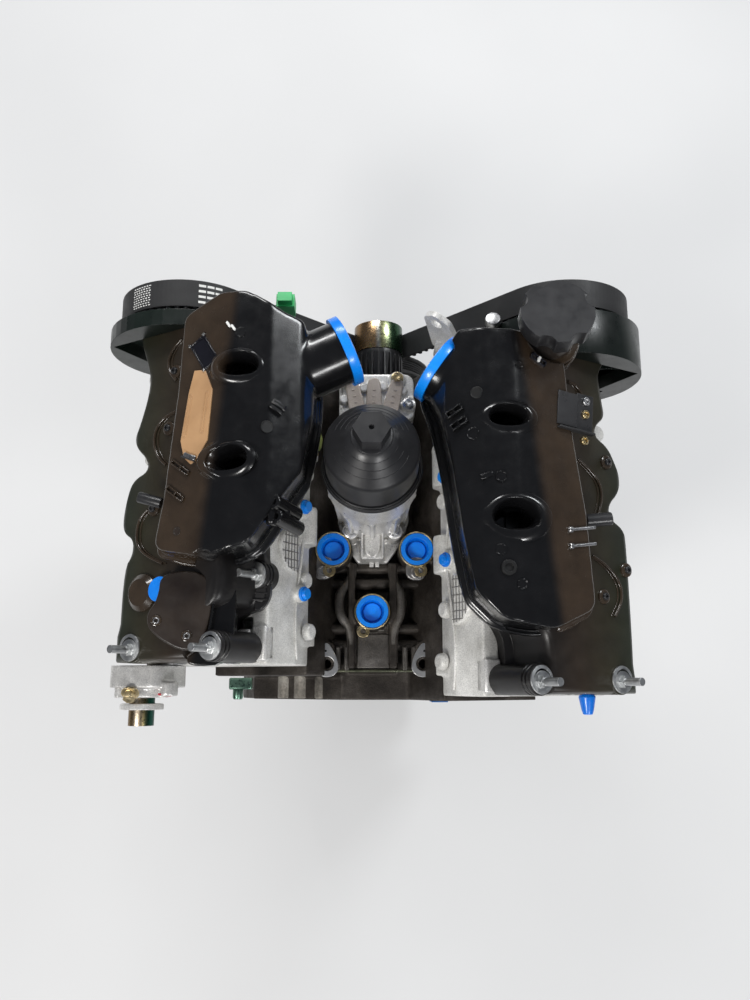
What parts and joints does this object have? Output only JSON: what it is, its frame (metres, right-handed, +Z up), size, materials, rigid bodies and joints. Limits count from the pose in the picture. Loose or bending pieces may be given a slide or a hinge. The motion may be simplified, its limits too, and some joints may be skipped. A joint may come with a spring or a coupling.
{
  "type": "V6 diesel engine",
  "caption": "Bare sixty-degree V engine with belt-driven twin camshafts on each bank, twin intake plenums, a tall oil filter in the valley and coolant plugs.",
  "frame": {"origin": "on the crankshaft axis, in the plane of the block's rear face", "axes": "+Y along the crankshaft to the timing end, +Z up, +X to the right bank"},
  "size_m": [0.5736, 0.486, 0.6758],
  "materials": {
    "block_iron": "dark cast skin",
    "forged_steel": "machined",
    "piston_alloy": "machined",
    "cast_alloy": "rough cast",
    "black_plastic": "moulded, fine grain",
    "satin_black": "satin",
    "bright_steel": "zinc plated",
    "blue_plastic": "smooth",
    "belt_rubber": "ribbed fabric",
    "filter_paper": "pleated paper",
    "plated_metal": "yellow plated",
    "damper_black": "satin paint",
    "sensor_green": "smooth"
  },
  "bodies": {
    "engine": {"cylinder_block": "block_iron", "main_bearing_caps": "block_iron", "crankshaft": "forged_steel", "piston_right_1": "piston_alloy", "piston_right_2": "piston_alloy", "piston_right_3": "piston_alloy", "piston_left_1": "piston_alloy", "piston_left_2": "piston_alloy", "piston_left_3": "piston_alloy", "connecting_rod_right_1": "forged_steel", "connecting_rod_right_2": "forged_steel", "connecting_rod_right_3": "forged_steel", "connecting_rod_left_1": "forged_steel", "connecting_rod_left_2": "forged_steel", "connecting_rod_left_3": "forged_steel", "wrist_pins": "forged_steel", "head_gaskets": "bright_steel", "cylinder_head_left": "cast_alloy", "cylinder_head_right": "cast_alloy", "valves": "forged_steel", "rocker_fingers": "forged_steel", "cam_cover_left": "black_plastic", "cam_cover_right": "black_plastic", "cover_studs": "bright_steel", "intake_plenum_left": "satin_black", "intake_plenum_right": "satin_black", "oil_filler_neck": "black_plastic", "oil_filter_housing": "cast_alloy", "filter_element": "filter_paper", "oil_cooler": "cast_alloy", "coolant_manifold": "cast_alloy", "port_collars": "plated_metal", "transport_plugs": "blue_plastic", "temperature_sensor": "sensor_green", "lifting_bracket": "bright_steel", "front_cover": "cast_alloy", "timing_plate_left": "black_plastic", "timing_plate_right": "black_plastic", "idler_hub": "black_plastic", "timing_belt": "belt_rubber", "oil_sump": "block_iron", "rear_pump": "cast_alloy"},
    "crank_line": {"crank_sprocket": "bright_steel", "crank_damper": "damper_black", "crank_flange": "forged_steel"},
    "exhaust_cam_left": {"camshaft_exhaust_left": "forged_steel", "cam_sprocket_left": "bright_steel"},
    "exhaust_cam_right": {"camshaft_exhaust_right": "forged_steel", "cam_sprocket_right": "bright_steel"},
    "intake_cam_left": {"camshaft_intake_left": "forged_steel"},
    "intake_cam_right": {"camshaft_intake_right": "forged_steel"},
    "centre_idler": {"idler_pulley": "bright_steel"},
    "tensioner": {"tensioner_arm": "cast_alloy"},
    "tensioner_wheel": {"tensioner_pulley": "bright_steel"},
    "coolant_pump": {"coolant_pump_wheel": "bright_steel"},
    "rear_drive": {"rear_pump_shaft": "plated_metal"},
    "filter_lid": {"filter_cap": "satin_black"},
    "filler_lid": {"oil_filler_cap": "satin_black"},
    "neck_plug_left": {"intake_plug_left": "blue_plastic"},
    "neck_plug_right": {"intake_plug_right": "blue_plastic"}
  },
  "joints": [
    {"name": "crank_turn", "type": "hinge", "parent": "engine", "child": "crank_line", "pos_m": [0, 0, 0], "axis": [0, 1, 0], "continuous": true, "deforming": ["timing_belt"]},
    {"name": "exhaust_cam_left_turn", "type": "hinge", "parent": "engine", "child": "exhaust_cam_left", "pos_m": [-0.20205, 0.2, 0.28195], "axis": [0, 1, 0], "continuous": true},
    {"name": "exhaust_cam_right_turn", "type": "hinge", "parent": "engine", "child": "exhaust_cam_right", "pos_m": [0.20205, 0.2, 0.28195], "axis": [0, 1, 0], "continuous": true},
    {"name": "intake_cam_left_turn", "type": "hinge", "parent": "engine", "child": "intake_cam_left", "pos_m": [-0.14316, 0.2, 0.31595], "axis": [0, 1, 0], "continuous": true},
    {"name": "intake_cam_right_turn", "type": "hinge", "parent": "engine", "child": "intake_cam_right", "pos_m": [0.14316, 0.2, 0.31595], "axis": [0, 1, 0], "continuous": true},
    {"name": "centre_idler_turn", "type": "hinge", "parent": "engine", "child": "centre_idler", "pos_m": [0.004, 0.409, 0.224], "axis": [0, 1, 0], "continuous": true},
    {"name": "tensioner_swing", "type": "hinge", "parent": "engine", "child": "tensioner", "pos_m": [-0.145, 0.39, 0.1035], "axis": [0, 1, 0], "range_deg": [-4, 6], "stiffness_Nm_per_rad": 40, "deforming": ["timing_belt"]},
    {"name": "tensioner_wheel_turn", "type": "hinge", "parent": "tensioner", "child": "tensioner_wheel", "pos_m": [-0.165, 0.409, 0.1195], "axis": [0, 1, 0], "continuous": true},
    {"name": "coolant_pump_turn", "type": "hinge", "parent": "engine", "child": "coolant_pump", "pos_m": [0.165, 0.409, 0.1195], "axis": [0, 1, 0], "continuous": true},
    {"name": "rear_drive_turn", "type": "hinge", "parent": "engine", "child": "rear_drive", "pos_m": [-0.24, 0.01, 0.262], "axis": [0, 1, 0], "continuous": true},
    {"name": "filter_lid_lift", "type": "slide", "parent": "engine", "child": "filter_lid", "axis": [0, 0.1564, 0.9877], "range_m": [0, 0.12]},
    {"name": "filler_lid_turn", "type": "hinge", "parent": "engine", "child": "filler_lid", "pos_m": [0.166, 0.334, 0.372], "axis": [0, 0.2079, 0.9781], "range_deg": [0, 90]},
    {"name": "neck_plug_left_pull", "type": "slide", "parent": "engine", "child": "neck_plug_left", "axis": [0.9063, 0.4226, 0], "range_m": [0, 0.012]},
    {"name": "neck_plug_right_pull", "type": "slide", "parent": "engine", "child": "neck_plug_right", "axis": [-0.809, 0.5878, 0], "range_m": [0, 0.012]}
  ],
  "couplings": [
    {"joint": "exhaust_cam_left_turn", "follows": "crank_turn", "ratio": 0.5},
    {"joint": "exhaust_cam_right_turn", "follows": "crank_turn", "ratio": 0.5},
    {"joint": "intake_cam_left_turn", "follows": "crank_turn", "ratio": -0.5},
    {"joint": "intake_cam_right_turn", "follows": "crank_turn", "ratio": -0.5},
    {"joint": "centre_idler_turn", "follows": "crank_turn", "ratio": -1.2067},
    {"joint": "tensioner_wheel_turn", "follows": "crank_turn", "ratio": -1.1317},
    {"joint": "coolant_pump_turn", "follows": "crank_turn", "ratio": -1.1317},
    {"joint": "rear_drive_turn", "follows": "crank_turn", "ratio": -0.5}
  ]
}
